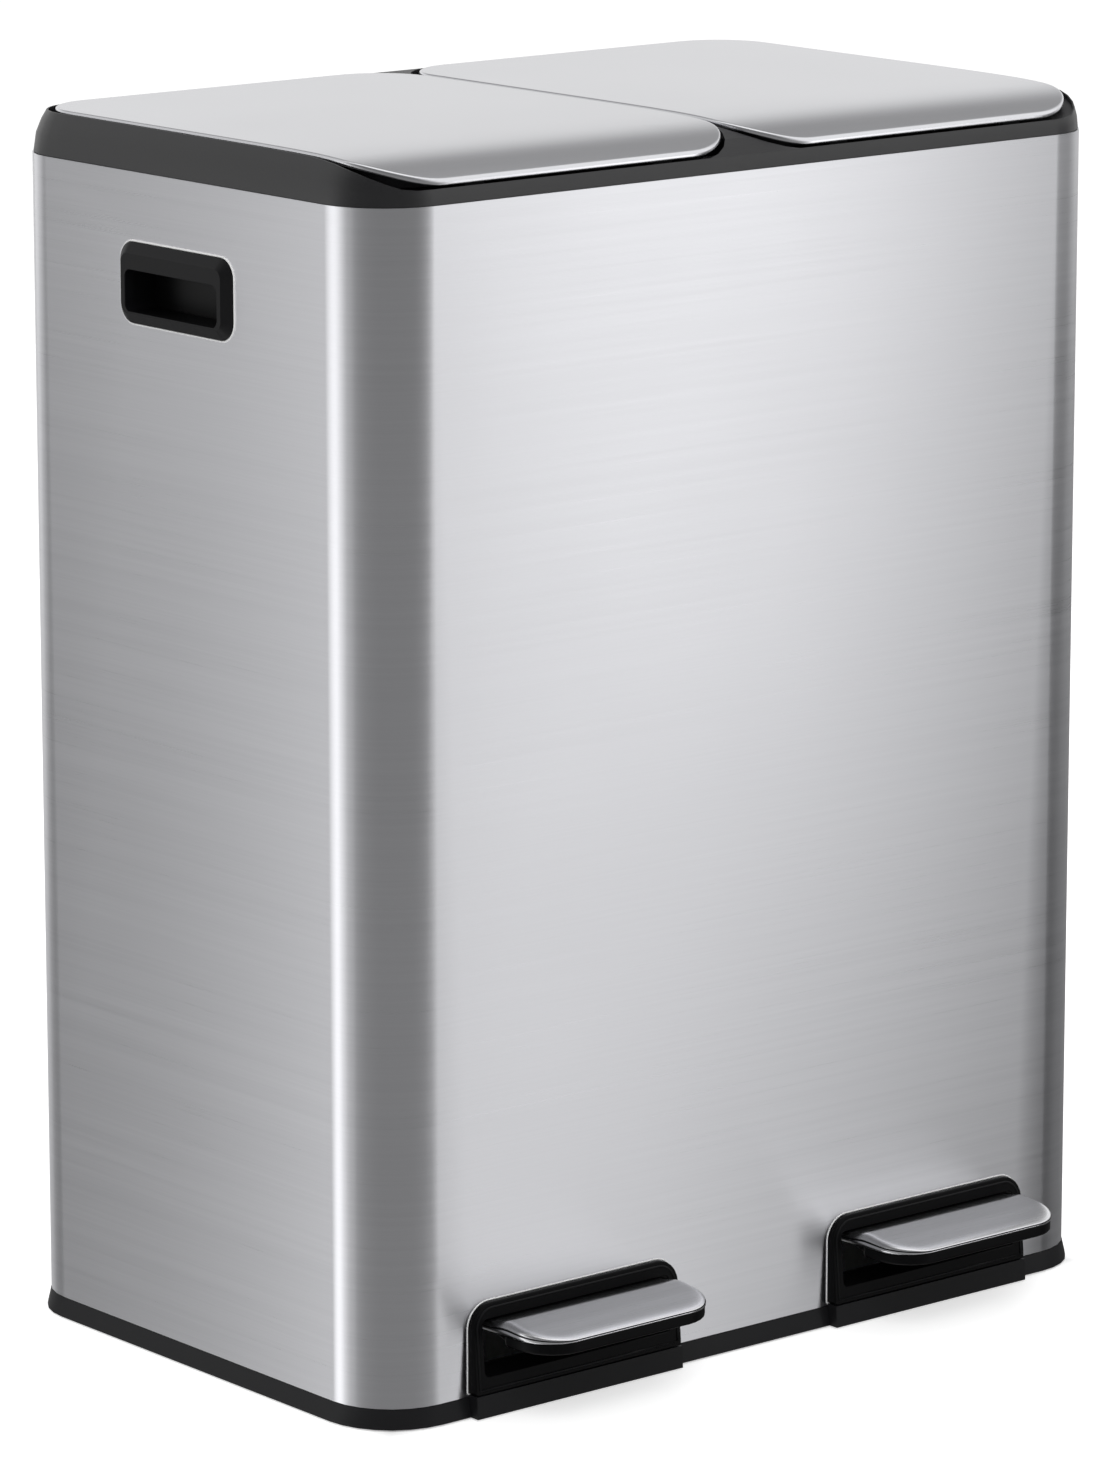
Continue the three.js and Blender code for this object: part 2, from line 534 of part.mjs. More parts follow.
// Built for the right pedal: the tread stands out from the middle of the arm by pocket.out
function pedalLever() {
  const inset = tread.edge + running;
  const padHalf = tread.half - inset;
  const padFront = treadFront + inset;
  const neck = treadBack + weld;
  const tail = linkY + lever.forkBoss;
  const fork = rodY - 2 * lever.forkBoss;
  const r = tread.corner - inset;
  const padLeft = pocket.out - padHalf;
  const padRight = pocket.out + padHalf;
  const plan = new THREE.Shape();
  plan.moveTo(padLeft + r, padFront);
  plan.lineTo(padRight - r, padFront);
  plan.absarc(padRight - r, padFront + r, r, -Math.PI / 2, 0, false);
  plan.lineTo(padRight, neck);
  plan.lineTo(lever.half, neck + lever.taper);
  plan.lineTo(lever.half, fork - lever.forkTaper);
  plan.lineTo(lever.fork, fork);
  plan.lineTo(lever.fork, tail + weld);
  plan.lineTo(-lever.fork, tail + weld);
  plan.lineTo(-lever.fork, fork);
  plan.lineTo(-lever.half, fork - lever.forkTaper);
  plan.lineTo(-lever.half, neck + lever.taper);
  plan.lineTo(padLeft, neck);
  plan.lineTo(padLeft, padFront + r);
  plan.absarc(padLeft + r, padFront + r, r, Math.PI, 1.5 * Math.PI, false);

  // Side view, from the tail along the underside to the tread and back over the top
  const skin = tread.sheet + gap;
  const fulcrumFront = leverY - 2 * lever.deep;
  const fulcrumBack = leverY + 1.5 * lever.deep;
  const neckTop = crownAt(neck) - skin - tread.sheet;
  const side = new THREE.Shape();
  side.moveTo(linkY, linkZ - lever.forkBoss);
  side.lineTo(fulcrumBack, lever.z - lever.deep);
  side.lineTo(leverY - lever.deep, lever.z - lever.deep);
  side.lineTo(neck, neckTop - lever.neck);
  neckLine.forEach(([share, rise]) => side.lineTo(frontY - share * tread.reach, tread.height + rise));
  side.lineTo(padFront, tread.height + neckLine.at(-1)[1]);
  treadLine.slice(0, -1).reverse().forEach(([share]) => {
    const y = frontY - share * tread.reach;
    side.lineTo(y, crownAt(y) - skin);
  });
  side.lineTo(neck, neckTop);
  side.lineTo(fulcrumFront, lever.z + lever.deep);
  side.lineTo(fulcrumBack, lever.z + lever.deep);
  side.lineTo(linkY, linkZ + lever.forkBoss);
  side.absarc(linkY, linkZ, lever.forkBoss, Math.PI / 2, -Math.PI / 2, true);
  const core = alongZ(plan, 0, 2 * tread.height).intersect(alongX(side, -2 * tread.half, 2 * tread.half));

  // The band stands out under the hem of the tread, all but flush with it
  const bandPlan = {
    ...treadPlan, x: pocket.out, back: frontY - band.from * tread.reach,
    cuts: [], backCorner: band.corner,
  };
  const bandFoot = tread.height - band.drop;
  const skirt = loft([
    ring(bandPlan, band.inset + band.edge, bandFoot),
    ring(bandPlan, band.inset, bandFoot + band.edge),
    ring(bandPlan, band.inset, y => hemAt(y) - gap),
  ]);

  // Ribbed underside: a hollow in the tread, one in the arm each side of the fulcrum
  const below = (half, y0, z0, y1, z1) =>
    alongX(polygon([[y0, 0], [y1, 0], [y1, z1], [y0, z0]]), -half, half);
  const armHalf = lever.half - lever.skin;
  const wall = lever.skin;
  const hollowFront = padFront + wall;
  const hollowBack = bandPlan.back - wall;
  const hollowPlan = roundedRect(padLeft + wall, padRight - wall, hollowFront, hollowBack,
    [r - wall, r - wall, wall / 2, wall / 2]);
  const hollow = alongZ(hollowPlan, 0, 2 * tread.height)
    .intersect(between(() => 0, y => crownAt(y) - skin - wall, padLeft, padRight, hollowFront - weld,
      hollowBack + weld, webSteps));
  const spine = block(-wall / 2, wall / 2, padFront, frontY, 0, 2 * tread.height);
  const forkHalf = rod.plate / 2 + running;
  const bossFront = leverY - lever.bracketBoss;
  const bossBack = leverY + lever.bracketBoss;
  return cut(core.add(skirt), [
    hollow.subtract(spine),
    below(armHalf, neck + lever.taper / 2, neckTop - 2 * wall, bossFront, lever.z + wall),
    below(armHalf, bossBack, lever.z + wall, fork - lever.forkTaper, linkZ + lever.forkBoss),
    block(-forkHalf, forkHalf, fork, tail + past, 0, 2 * tread.height),
    crossHole(lever.pin + gap, leverY, lever.z, lever.half + past),
    crossHole(lever.link + gap, linkY, linkZ, lever.fork + past),
  ]);
}

// Black frame round the opening of a pedal: a sloping face and a short tunnel into the base
function pedalPocket() {
  const back = frontY - gap;
  const { half, top, corner, proudTop, proudBottom, wall } = pocket;
  const frame = alongY(roundedRect(-half, half, pocketBottom, top,
    [pocket.sill, pocket.sill, corner, corner]), frontY - 2 * proudBottom, back);
  const slope = alongX(polygon([
    [back, pocketBottom - weld], [frontY - proudBottom, pocketBottom - weld],
    [frontY - proudTop, top + weld], [back, top + weld]]), -half - weld, half + weld);
  const mouthRect = (more, corners) => roundedRect(
    -mouth.half - more, mouth.half + more, mouth.bottom - more, mouth.top + more, corners);
  const tunnel = alongY(mouthRect(wall, tunnelCorner), back - weld, frontY + pocket.depth);
  const opening = alongY(mouthRect(0, pocket.mouthCorner),
    frontY - 2 * proudBottom - past, frontY + pocket.depth + past);
  return cut(frame.intersect(slope).add(tunnel), [opening]);
}

// ---------------------------------------------------------------- base

function baseMoulding() {
  const skirtTop = casing.bottom - gap;
  const ledge = skirtTop - base.wall;
  const skirt = loft([
    ring(shellPlan, base.wall - base.flare, base.bottom),
    ring(shellPlan, -base.flare, base.bottom),
    ring(shellPlan, -base.flare * 0.8, base.bottom + base.band),
    ring(shellPlan, 0, skirtTop),
    ring(shellPlan, casing.wall + base.wall, skirtTop),
    ring(shellPlan, casing.wall + base.wall, ledge),
    ring(shellPlan, base.wall, ledge),
  ], true);
  const under = base.floor - base.floorThick;
  const plugInset = casing.wall + running;
  const plug = loft([
    ring(shellPlan, plugInset, ledge),
    ring(shellPlan, plugInset, base.floor),
  ]).subtract(loft([
    ring(shellPlan, plugInset + base.wall, 0),
    ring(shellPlan, plugInset + base.wall, under),
  ]));

  const wallX = sideX - plugInset - weld;
  const wallY = backY - plugInset - weld;
  const hung = under + weld / 2;
  const ribFoot = under - base.ribDepth;
  const rib = (x0, x1, y0, y1) => block(Math.min(x0, x1), Math.max(x0, x1), y0, y1, ribFoot, hung);
  const ribAlongY = (x, y0) => rib(x - base.rib / 2, x + base.rib / 2, y0, wallY);
  const ribAlongX = (x0, x1, y) => rib(x0, x1, y - base.rib / 2, y + base.rib / 2);
  const cheek = lever.half + running;
  const clearOfLever = cheek + 2 * lever.bracket;
  const fittings = [skirt, plug, ribAlongY(0, -wallY)];
  const holes = [];
  for (const side of [-1, 1]) {
    const x = side * lane;
    const arm = lever.half + lever.bracket;
    fittings.push(ribAlongY(x - side * (arm + base.ribInner), frontY + pocket.depth));
    fittings.push(ribAlongY(x + side * (arm + base.ribOuter), frontY + pocket.depth));
    for (const inset of base.crossRibs) {
      fittings.push(ribAlongX(0, x - side * clearOfLever, backY - inset));
      fittings.push(ribAlongX(x + side * clearOfLever, side * wallX, backY - inset));
    }
    for (const x0 of [x - cheek - lever.bracket, x + cheek]) {
      fittings.push(bracket(x0, x0 + lever.bracket, hung));
    }
    const pinHole = crossHole(lever.pin + gap, leverY, lever.z, cheek + lever.bracket + past);
    holes.push(pinHole.translate([x, 0, 0]));
    holes.push(uprightRod(rod.radius + rod.play, x, rodY, 0, base.floor + past));

    // Plinth under the pedal pocket, flush with the pocket's face
    const mid = side * pedalX;
    const plinthTop = pocketBottom - gap;
    const face = frontY - pocket.proudBottom;
    fittings.push(alongX(polygon([
      [frontY + base.wall, base.bottom], [face - weld, base.bottom], [face - gap, plinthTop],
      [frontY - gap, plinthTop], [frontY - gap, skirtTop], [frontY + base.wall, skirtTop],
    ]), mid - pocket.half, mid + pocket.half));
    const plinthHalf = pocket.half - base.wall;
    holes.push(block(mid - plinthHalf, mid + plinthHalf, face + base.wall, frontY + past, 0, ledge));
    // Hole in the front wall, round the pocket's tunnel
    const room = pocket.wall + gap;
    const hole = alongY(roundedRect(mid - mouth.half - room, mid + mouth.half + room,
      mouth.bottom - room, mouth.top + room, tunnelCorner), frontY + casing.wall, frontY + 2 * past);
    holes.push(hole.intersect(block(-sideX, sideX, frontY, backY, 0, under)));
    for (const end of [-1, 1]) {
      fittings.push(footBoss(side * (sideX - foot.insetX), end * (backY - foot.insetY), hung));
    }
  }
  return cut(join(fittings), holes);
}

// Fulcrum bracket: a cheek that hangs from the floor, round about the pin
function bracket(x0, x1, top) {
  const r = lever.bracketBoss;
  const shape = new THREE.Shape();
  shape.moveTo(leverY - 1.75 * r, top);
  shape.lineTo(leverY - r, lever.z);
  shape.absarc(leverY, lever.z, r, Math.PI, 2 * Math.PI, false);
  shape.lineTo(leverY + 1.75 * r, top);
  return alongX(shape, x0, x1);
}

// Crossed ribs that carry a foot pad down from the floor
function footBoss(x, y, top) {
  const r = foot.radius;
  const low = foot.height + gap;
  return join([
    uprightRod(r, x, y, low, low + foot.seat, padSides),
    block(x - r, x + r, y - base.rib / 2, y + base.rib / 2, low + weld, top),
    block(x - base.rib / 2, x + base.rib / 2, y - r, y + r, low + weld, top),
  ]);
}

// ---------------------------------------------------------------- side handles and buckets

// Recessed grip, built for the left side: the flange rises from the casing to the mouth, and the cup hooks
// up behind its brow
function sideHandle() {
  const { proud, width, height, corner, wall, brow, sill, middle } = handle;
  const inX = -sideX - gap;
  const outX = inX - proud;
  const cupEnd = -sideX + handle.depth;
  const y0 = middle - width / 2;
  const y1 = middle + width / 2;
  const z0 = handleZ - height / 2;
  const z1 = handleZ + height / 2;
  const outline = (inset, x0, x1) => alongX(
    roundedRect(y0 + inset, y1 - inset, z0 + inset, z1 - inset, corner - inset), x0, x1);
  const flange = wasm.Manifold.hull([
    outline(0, inX - handle.rimEdge, inX),
    outline(handle.rimSlope, outX, inX),
  ]);
  const cup = alongX(roundedRect(middle - cupHalf, middle + cupHalf, handleZ - cupTall, handleZ + cupTall,
    cupCorner), inX - weld / 2, cupEnd);
  const mouth0 = y0 + handle.band;
  const mouth1 = y1 - handle.band;
  const grip = alongX(roundedRect(mouth0, mouth1, z0 + sill, z1 - brow, corner / 2),
    outX - past, inX + 2 * wall);
  const cavity = alongX(roundedRect(mouth0 - weld, mouth1 + weld, z0 + sill, handleZ + cupTall - wall,
    corner / 2), inX + wall, cupEnd - wall);
  return cut(flange.add(cup), [grip, cavity]);
}

// Lift-out bucket: drafted walls, a turned-down flange round the mouth, and a slot for the fingers front
// and back
function innerBucket() {
  const bottom = base.floor + gap;
  const top = casing.top - bucket.drop;
  const plan = {
    half: lidHalf - bucket.side, front: frontY + bucket.front, back: backY - bucket.back,
    frontCorner: bucket.corner, backCorner: bucket.corner, steps: bucketSteps,
  };
  const { wall, flange, draft, heel, lip } = bucket;
  const body = loft([
    ring(plan, draft + heel, bottom),
    ring(plan, draft, bottom + heel),
    ring(plan, 0, top - wall),
    ring(plan, -flange + wall, top - wall),
    ring(plan, -flange + wall, top - lip),
    ring(plan, -flange, top - lip),
    ring(plan, -flange, top - weld),
    ring(plan, -flange + weld, top),
    ring(plan, wall, top),
    ring(plan, wall + draft, bottom + heel + wall),
    ring(plan, wall + draft + heel, bottom + wall),
  ]);
  const gripTop = top - bucket.gripDrop;
  const grips = alongY(roundedRect(-bucket.grip / 2, bucket.grip / 2, gripTop - bucket.gripTall,
    gripTop, bucket.gripCorner), frontY, backY);
  return body.subtract(grips);
}

// ---------------------------------------------------------------- assembly

const bin = new THREE.Group();
bin.position.y = (tread.reach - base.flare) / 2;

const place = (parent, name, geometry, material, x = 0, y = 0, z = 0) => {
  const mesh = new THREE.Mesh(geometry, material());
  mesh.name = name;
  mesh.position.set(x, y, z);
  parent.add(mesh);
};

place(bin, 'steel_casing', geometryOf(steelCasing()), brushedSteel);
place(bin, 'top_rim', geometryOf(topRim()), blackPlastic);
place(bin, 'base', geometryOf(baseMoulding()), blackPlastic);

const shared = {
  skin: geometryOf(lidSkin()),
  liner: geometryOf(lidLiner()),
  rod: geometryOf(liftRod()),
  cap: geometryOf(pedalCap()),
  pocket: geometryOf(pedalPocket()),
  bucket: geometryOf(innerBucket()),
};
const leftGrip = sideHandle();
const rightLever = pedalLever();
const footPad = () => new THREE.CylinderGeometry(foot.radius, foot.radius - foot.taper, foot.height, padSides)
  .rotateX(Math.PI / 2);

// Pins stand a little proud of what holds them
const proudPin = 3;
const hingePin = 2 * (hinge.knuckle / 2 + running + hinge.ear);
const crankPin = rod.plate + 2 * (running + crank.plate) + proudPin;
const linkPin = 2 * lever.fork + proudPin;
const fulcrumPin = 2 * (lever.half + running + lever.bracket) + proudPin;
const bumperZ = lidSurface(lidFront) - rim.seat + gap + bumper.height / 2;

for (const [side, word] of [[-1, 'left'], [1, 'right']]) {
  const compartment = new THREE.Group();
  compartment.position.x = side * lane;
  bin.add(compartment);

  place(compartment, `${word}_lid_skin`, shared.skin.clone(), brushedSteel);
  place(compartment, `${word}_lid_liner`, shared.liner.clone(), blackPlastic);
  for (const [end, label] of [[1, 'outer'], [-1, 'inner']]) {
    const pin = pinGeometry(hinge.pin, hingePin);
    const pinX = side * end * hingeX;
    place(compartment, `${word}_hinge_pin_${label}`, pin, plainSteel, pinX, hingeY, hingeZ);
    const pad = new THREE.BoxGeometry(bumper.length, bumper.depth, bumper.height);
    const x = side * end * (lidHalf - bumper.fromSide);
    place(compartment, `${word}_bumper_${label}`, pad, rubber, x, lidFront + bumper.inset, bumperZ);
  }
  const crossPin = (name, radius, length, y, z) =>
    place(compartment, `${word}_${name}`, pinGeometry(radius, length), plainSteel, 0, y, z);
  crossPin('crank_pin', crank.pin, crankPin, crankY, crankZ);
  place(compartment, `${word}_lift_rod`, shared.rod.clone(), plainSteel);
  crossPin('link_pin', lever.link, linkPin, linkY, linkZ);
  place(compartment, `${word}_pedal_cap`, shared.cap.clone(), brushedSteel, side * pocket.out);
  const arm = side > 0 ? rightLever : rightLever.mirror([1, 0, 0]);
  place(compartment, `${word}_pedal_lever`, geometryOf(arm), blackPlastic);
  crossPin('pedal_pin', lever.pin, fulcrumPin, leverY, lever.z);
  place(compartment, `${word}_pedal_pocket`, shared.pocket.clone(), blackPlastic, side * pocket.out);
  place(compartment, `${word}_bucket`, shared.bucket.clone(), greyPlastic);

  const grip = side < 0 ? leftGrip : leftGrip.mirror([1, 0, 0]);
  place(bin, `${word}_side_handle`, geometryOf(grip), blackPlastic);
  for (const [end, label] of [[-1, 'front'], [1, 'back']]) {
    place(bin, `${word}_${label}_foot`, footPad(), rubber,
      side * (sideX - foot.insetX), end * (backY - foot.insetY), foot.height / 2);
  }
}

export default bin;
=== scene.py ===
# %% [markdown]
# # A double recycling bin in brushed steel and black plastic
#
# The object is a tall step bin with two compartments. A steel casing with round corners stands on a low
# black base; a black rim at the top holds two steel lids; each pedal at the foot opens the lid above it.
# This lesson dresses the bin's measured frame: it adds the finishes and the fine pieces that the frame
# only has in outline. Everything is in metres, x to the right along the front, y to the back and z up.

# %% Load the frame
import math

import bmesh
import bpy
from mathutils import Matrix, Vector


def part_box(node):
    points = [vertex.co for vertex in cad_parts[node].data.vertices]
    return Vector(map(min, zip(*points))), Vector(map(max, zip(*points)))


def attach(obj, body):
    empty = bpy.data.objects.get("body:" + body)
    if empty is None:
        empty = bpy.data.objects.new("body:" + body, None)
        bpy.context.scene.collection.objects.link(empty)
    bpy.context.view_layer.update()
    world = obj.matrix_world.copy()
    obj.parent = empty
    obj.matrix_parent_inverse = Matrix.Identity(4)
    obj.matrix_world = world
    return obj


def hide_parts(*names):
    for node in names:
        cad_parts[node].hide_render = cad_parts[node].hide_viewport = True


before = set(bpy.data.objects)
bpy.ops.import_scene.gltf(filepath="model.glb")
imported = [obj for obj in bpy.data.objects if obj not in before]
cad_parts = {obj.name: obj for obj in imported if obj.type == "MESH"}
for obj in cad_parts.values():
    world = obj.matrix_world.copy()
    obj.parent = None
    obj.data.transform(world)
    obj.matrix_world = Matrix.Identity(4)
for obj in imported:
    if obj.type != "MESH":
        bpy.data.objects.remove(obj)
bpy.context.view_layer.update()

# %% [markdown]
# ## The camera
#
# The photograph was taken from the front left, a little above the lids, with a long lens from about three
# and a half metres away, so that the upright edges stay almost parallel. The place and the turn below come
# from matching the corners of the casing to the picture.

# %% Place the camera
BIN_MIDDLE = Vector((0, 0, 0.32))


def set_out(name, data):
    """Put a camera, mesh, curve or lamp into the scene as an object."""
    obj = bpy.data.objects.new(name, data)
    bpy.context.scene.collection.objects.link(obj)
    return obj


lens = bpy.data.cameras.new("studio_camera")
lens.sensor_width = 36
lens.lens = 167.4
lens.clip_end = 60
camera = set_out("studio_camera", lens)
camera.location = (-2.259, -2.6931, 1.076)
camera.rotation_euler = (math.radians(77.574), math.radians(0.03), math.radians(-39.686))
bpy.context.scene.camera = camera
bpy.context.scene.view_settings.view_transform = "Standard"
print("camera distance", round((camera.location - BIN_MIDDLE).length, 2), "m")

# %% [markdown]
# ## Arithmetic on shader sockets
#
# A finish is a small tree of nodes. Wiring it by hand hides the idea behind the plumbing, so one small class
# wraps a socket and lets Python's own signs build the Math nodes: `1 - mask * 0.3` reads as it would on
# paper. A second class holds one tree, and its one method `node` makes any other node.

# %% Wrap a socket
class Wire:
    """One output of a shader node, which can stand in a sum or a product."""

    def __init__(self, bench, socket):
        self.bench = bench
        self.socket = socket

    def maths(self, operation, first, second=0.0):
        return self.bench.node("ShaderNodeMath", {"operation": operation}, {0: first, 1: second})

    def __add__(self, other):
        return self.maths("ADD", self, other)

    def __radd__(self, other):
        return self.maths("ADD", other, self)

    def __sub__(self, other):
        return self.maths("SUBTRACT", self, other)

    def __rsub__(self, other):
        return self.maths("SUBTRACT", other, self)

    def __mul__(self, other):
        return self.maths("MULTIPLY", self, other)

    def __rmul__(self, other):
        return self.maths("MULTIPLY", other, self)

    def __truediv__(self, other):
        return self.maths("DIVIDE", self, other)

    def __rtruediv__(self, other):
        return self.maths("DIVIDE", other, self)


print("wires can be added, subtracted, multiplied and divided")


# %% Hold one tree of nodes
class Bench:
    """A node tree on the bench, and one way to add any node to it."""

    def __init__(self, tree):
        self.tree = tree

    def node(self, kind, settings=None, sockets=None, out=0):
        made = self.tree.nodes.new(kind)
        for name, value in (settings or {}).items():
            if name == "stops":
                self.set_stops(made.color_ramp, value)
            else:
                setattr(made, name, value)
        for key, value in (sockets or {}).items():
            self.feed(made.inputs[key], value)
        return Wire(self, made.outputs[out])

    def set_stops(self, ramp, stops):
        while len(ramp.elements) < len(stops):
            ramp.elements.new(0.5)
        for element, (place, level) in zip(ramp.elements, stops):
            element.position = place
            element.color = (level, level, level, 1)

    def feed(self, socket, value):
        if isinstance(value, Wire):
            self.tree.links.new(value.socket, socket)
        else:
            socket.default_value = value

    def ramp(self, share, stops):
        return self.node("ShaderNodeValToRGB", {"stops": stops}, {0: share})

    def blend(self, share, one, other):
        """Two colours mixed. The node takes them at its sockets 6 and 7, and gives their mixture at 2."""
        return self.node("ShaderNodeMix", {"data_type": "RGBA"}, {0: share, 6: one, 7: other}, out=2)

    def point(self):
        """The point on the piece, in metres."""
        return self.node("ShaderNodeTexCoord", out="Object")

    def along(self, vector, axes):
        """The parts of a vector along the named axes."""
        split = self.node("ShaderNodeSeparateXYZ", {}, {"Vector": vector}).socket.node
        return [Wire(self, split.outputs[axis]) for axis in axes]

    def noise(self, fineness, detail, rough=0.5):
        """Noise in space, with a fineness of its own for each axis."""
        place = self.node("ShaderNodeVectorMath", {"operation": "MULTIPLY"}, {0: self.point(), 1: fineness})
        return self.node("ShaderNodeTexNoise", {}, {
            "Vector": place, "Scale": 1.0, "Detail": detail, "Roughness": rough})


print("bench ready")


# %% Start a finish
class Finish(Bench):
    """A material and its Principled shader. Values that are even all over are set straight away."""

    def __init__(self, name, **even):
        self.material = bpy.data.materials.new(name)
        self.material.use_nodes = True
        super().__init__(self.material.node_tree)
        self.shader = self.tree.nodes["Principled BSDF"]
        for word, value in even.items():
            socket = word.replace("_", " ").title().replace("Ior", "IOR")
            self.shader.inputs[socket].default_value = value

    def into(self, name, value):
        self.feed(self.shader.inputs[name], value)

    def relief(self, height, depth, strength):
        bump = self.node("ShaderNodeBump", {}, {"Height": height, "Distance": depth, "Strength": strength})
        self.into("Normal", bump)


def grey(level, tint=(0, 0, 0)):
    """A grey with a tint added to its red, green and blue."""
    return tuple(level + part for part in tint) + (1,)


print("finishes can be started")

# %% [markdown]
# ## Brushed steel
#
# The casing is stainless sheet with a fine grain that runs level round the bin. A belt sander leaves
# thousands of short scratches: across them the sheet mirrors in a wide soft smear, along them it stays
# sharper. Noise that is hundreds of times finer across the scratches than along them gives their colour and
# relief, and the shader's anisotropy gives the smear. The noise is taken in space, so the grain runs on round
# the corners. The pins and rods get the same steel with scratches of their own.

# %% Brushed steel for casing, lids and pins
COLD = (0, 0.003, 0.034)
SCRATCH_DETAIL, SCRATCH_ROUGH = 4.0, 0.7
SCRATCH_DEPTH = 0.000006
BAND_FINENESS, BAND_SHARE = 0.12, 0.45
CLOUD_FINENESS, CLOUD_DULLING = (7, 7, 7), 0.04
SMEAR_TURN = 0.25


def brushed_steel(name, fineness, tone, dullness, contrast=0.08, smear=0.0):
    """Steel with fine scratches in broader bands, under slow clouds of dullness."""
    steel = Finish(name, metallic=1.0, anisotropic=smear, anisotropic_rotation=SMEAR_TURN)
    lines = steel.noise(fineness, SCRATCH_DETAIL, SCRATCH_ROUGH)
    bands = steel.noise(tuple(part * BAND_FINENESS for part in fineness), 2.0)
    clouds = steel.noise(CLOUD_FINENESS, 2.0)
    streak = lines * (1 - BAND_SHARE) + bands * BAND_SHARE
    dark, light = grey(tone - contrast, COLD), grey(tone + contrast, COLD)
    steel.into("Base Color", steel.blend(streak, dark, light))
    steel.into("Roughness", dullness + (streak - 0.5) * contrast * 2 + (clouds - 0.5) * CLOUD_DULLING)
    steel.relief(lines, SCRATCH_DEPTH, 0.3)
    return steel.material


casing_steel = brushed_steel("casing_steel", (14, 14, 3600), tone=0.87, dullness=0.30, smear=0.9)
lid_steel = brushed_steel("lid_steel", (9, 2400, 2400), tone=0.86, dullness=0.22, contrast=0.025)
pin_steel = brushed_steel("pin_steel", (3000, 60, 60), tone=0.6, dullness=0.35)
print("steel finishes:", casing_steel.name, lid_steel.name, pin_steel.name)

# %% [markdown]
# ## Pressed steel of the treads
#
# A tread's colour is painted by the way its surface faces, standing in for the light and shade on it: the
# flat gets a darker painted shade, the rounded shoulder a painted highlight, and the slope at the back the
# darkest painted shade. The finish reads the surface normal and blends between these three.
# Where the casing was cut and folded, its fold is coloured pale, a painted highlight, with fine nicks.

# %% Tread steel and cut edges
# Masks of which way the tread faces, and the tones of its painted highlight and painted shade
FLAT_STOPS = ((0.92, 0), (0.993, 1))
SLOPE_STOPS = ((0.04, 0), (0.12, 1))
SHOULDER_HIGHLIGHT_TONE, FLAT_PAINTED_SHADE, SLOPE_PAINTED_SHADE, TREAD_GRAIN = 0.95, 0.61, 0.14, 0.16
TREAD_DULLNESS, FLAT_DULLNESS = 0.24, 0.05


def tread_finish():
    steel = Finish("tread_steel", metallic=1.0)
    back, up = steel.along(steel.node("ShaderNodeTexCoord", out="Normal"), "YZ")
    flat = steel.ramp(up, FLAT_STOPS)
    slope = steel.ramp(back, SLOPE_STOPS)
    lines = steel.noise((24, 2400, 2400), SCRATCH_DETAIL, SCRATCH_ROUGH)
    # Painted highlight on the shoulder, painted shade on the flat, darker painted shade on the back slope
    shade = SHOULDER_HIGHLIGHT_TONE - flat * FLAT_PAINTED_SHADE - slope * SLOPE_PAINTED_SHADE + (lines - 0.5) * TREAD_GRAIN
    steel.into("Base Color", steel.blend(shade, grey(0), grey(1.0, COLD)))
    steel.into("Roughness", TREAD_DULLNESS + flat * FLAT_DULLNESS + (lines - 0.5) * 0.1)
    steel.relief(lines, SCRATCH_DEPTH, 0.4)
    return steel.material


def painted_edge_highlight_finish():
    steel = Finish("painted_edge_highlight_steel", metallic=0.1)
    nicks = steel.noise((900, 900, 900), 2.0)
    # The pale colour is a painted highlight along the fold; the nicks vary it at random
    steel.into("Base Color", steel.blend(nicks, grey(0.85), grey(1.0)))
    steel.into("Roughness", 0.4 + nicks * 0.2)
    return steel.material


tread_steel = tread_finish()
painted_edge_highlight = painted_edge_highlight_finish()
print("more steel:", tread_steel.name, painted_edge_highlight.name)

# %% [markdown]
# ## Moulded plastics
#
# The rim, base, pockets and grips are injection moulded in black polypropylene. The mould is spark eroded,
# so the skin has a fine even pebble that scatters the light and lifts the black to charcoal where light
# grazes it. A small sharp noise gives that pebble; a slow one stands for handling marks. The liners and
# buckets are moulded in a dark grey, and the feet and bumpers in dull rubber.

# %% Black, grey and liner plastics, and rubber
MOTTLE = 0.3
GRAIN_SHARE = 0.6


def moulded(name, colour, dullness, shine=0.3, pebble=1500, depth=0.00002):
    """A moulded skin, with the fineness and depth of its pebble."""
    plastic = Finish(name, specular_ior_level=shine)
    grain = plastic.noise((pebble, pebble, pebble), 2.0, 0.6)
    marks = plastic.noise((16, 16, 16), 3.0)
    dark = grey(colour * (1 - MOTTLE), (0, 0, colour * 0.12))
    light = grey(colour * (1 + MOTTLE), (0, colour * 0.02, colour * 0.2))
    mottle = grain * GRAIN_SHARE + marks * (1 - GRAIN_SHARE)
    plastic.into("Base Color", plastic.blend(mottle, dark, light))
    plastic.into("Roughness", dullness + (marks - 0.5) * 0.1 + (grain - 0.5) * 0.14)
    plastic.relief(grain, depth, 0.6)
    return plastic.material


rim_plastic = moulded("rim_plastic", 0.009, dullness=0.38, shine=0.85, pebble=900, depth=0.00006)
base_plastic = moulded("base_plastic", 0.009, dullness=0.5)
pocket_plastic = moulded("pocket_plastic", 0.0025, dullness=0.42, shine=0.12)
grip_plastic = moulded("grip_plastic", 0.005, dullness=0.42, shine=0.24)
liner_plastic = moulded("liner_plastic", 0.03, dullness=0.55)
bucket_plastic = moulded("bucket_plastic", 0.04, dullness=0.5, shine=0.4, pebble=900)
rubber = moulded("rubber", 0.01, dullness=0.8, shine=0.2, pebble=700, depth=0.00005)
print("plastics and rubber ready")

# %% [markdown]
# ## Give each piece of the frame its finish
#
# The frame's pieces already have the right shape and place. Each takes the finish that its name calls for,
# and what no name is listed for, the pins and rods, takes pin steel. The faces of a measured solid don't
# share their corners, so they are welded first. On pockets and levers flat faces are joined and hard edges
# are rounded a little, because a mould never leaves a knife edge. The normals are weighed by area, so that
# flat walls stay flat next to their round corners.

